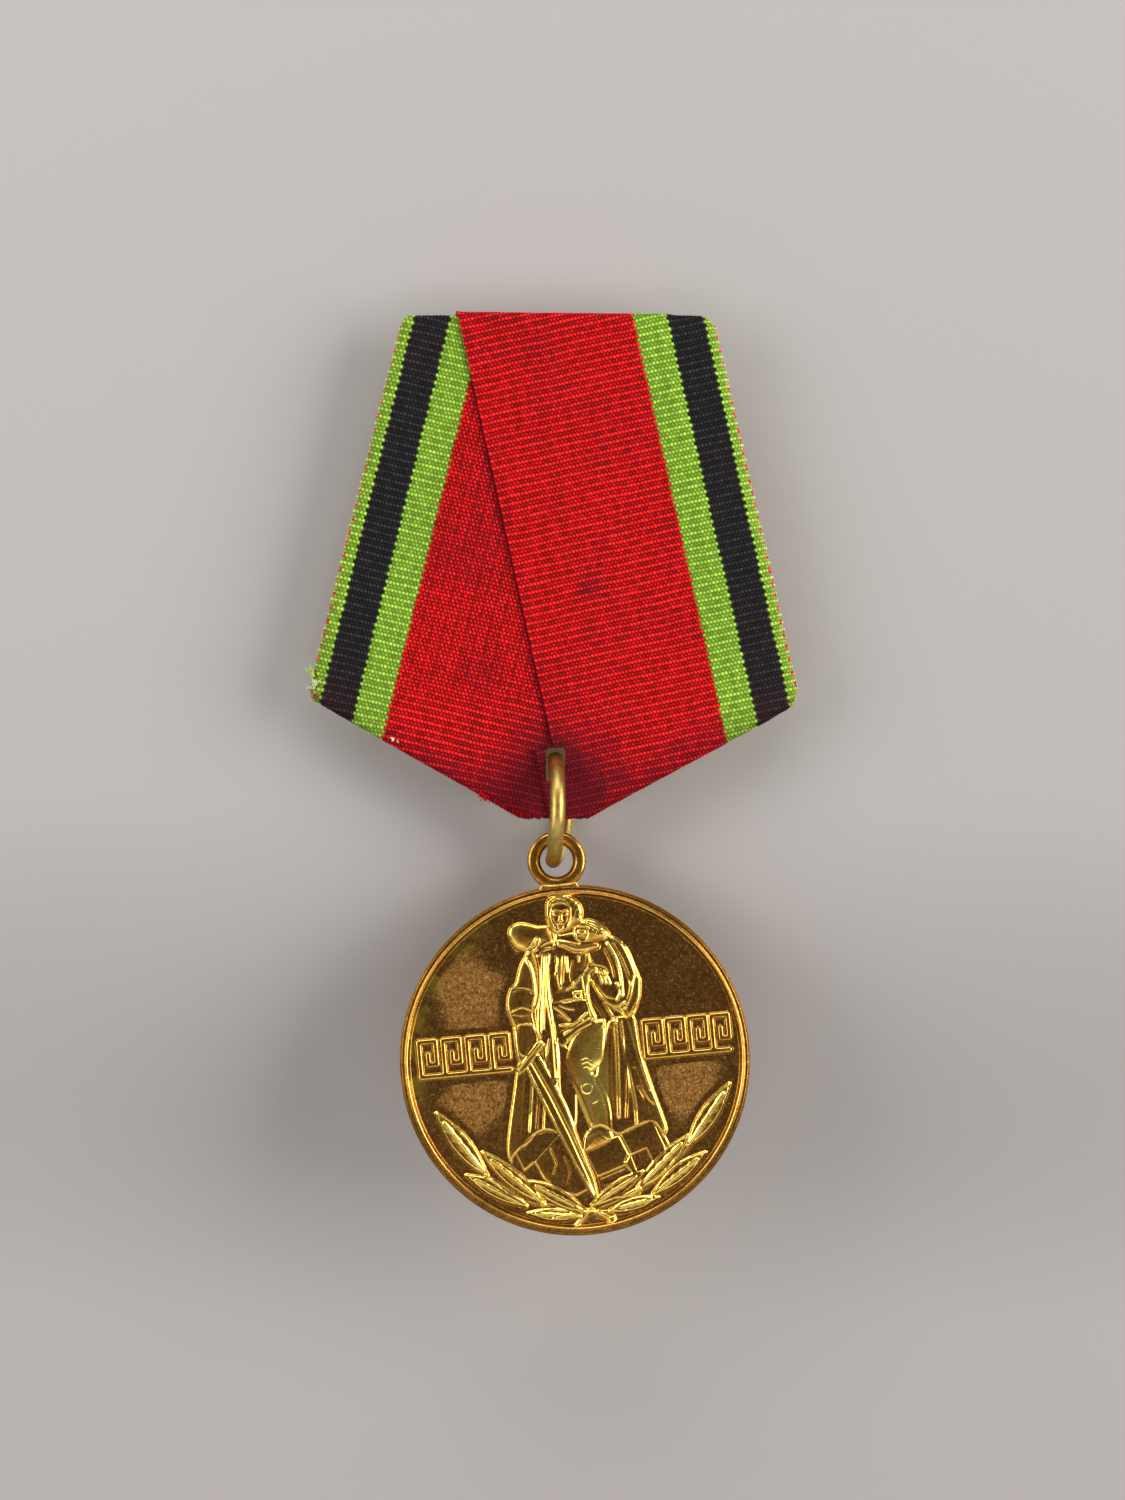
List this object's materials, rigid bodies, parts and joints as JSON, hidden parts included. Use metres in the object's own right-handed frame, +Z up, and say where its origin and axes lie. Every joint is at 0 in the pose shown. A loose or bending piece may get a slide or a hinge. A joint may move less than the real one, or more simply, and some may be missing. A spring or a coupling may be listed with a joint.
{
  "type": "service medal on a five-sided ribbon mount",
  "caption": "Round brass medal with a fixed eyelet and a wire ring, hung from a five-sided mount with a striped folded ribbon and a brooch pin.",
  "frame": {"origin": "on the flat rear face of the back plate, on the mount's centre line, 24 mm below its top edge", "axes": "+X to the right as the face is seen, +Z up as worn, +Y out of the back towards the garment; the face looks along -Y"},
  "size_m": [0.0442, 0.0106, 0.0842],
  "materials": {
    "medal_brass": "struck and gilt, worn bright on the high places, dark patina in the field",
    "ring_wire": "drawn wire, dull with a greenish patina",
    "ribbon": "warp-faced rep, red with a green and a black stripe and a green edge",
    "mount_plate": "rolled sheet, dull, with fine scratches",
    "pin_steel": "nickel plated, satin, worn"
  },
  "bodies": {
    "mount": {"carrier_plate": "mount_plate", "back_plate": "mount_plate", "ribbon_left_panel": "ribbon", "ribbon_right_panel": "ribbon", "pin_hinge_bracket": "pin_steel", "pin_hinge_axle": "pin_steel", "pin_catch": "pin_steel", "rivet_hinge_side": "mount_plate", "rivet_catch_side": "mount_plate"},
    "pin": {"brooch_pin": "pin_steel"},
    "ring": {"suspension_ring": "ring_wire"},
    "medal": {"medal_disc": "medal_brass"}
  },
  "joints": [
    {"name": "pin_open", "type": "hinge", "parent": "mount", "child": "pin", "pos_m": [-0.011, 0.00195, 0.014], "axis": [0, 0, 1], "range_deg": [0, 110]},
    {"name": "ring_swing", "type": "hinge", "parent": "mount", "child": "ring", "pos_m": [0.00012, -0.00141, -0.01635], "axis": [1, 0, 0], "range_deg": [-18, 18]},
    {"name": "medal_swing", "type": "hinge", "parent": "ring", "child": "medal", "pos_m": [0.00035, -0.00141, -0.02557], "axis": [0, -1, 0], "range_deg": [-64, 52]}
  ]
}
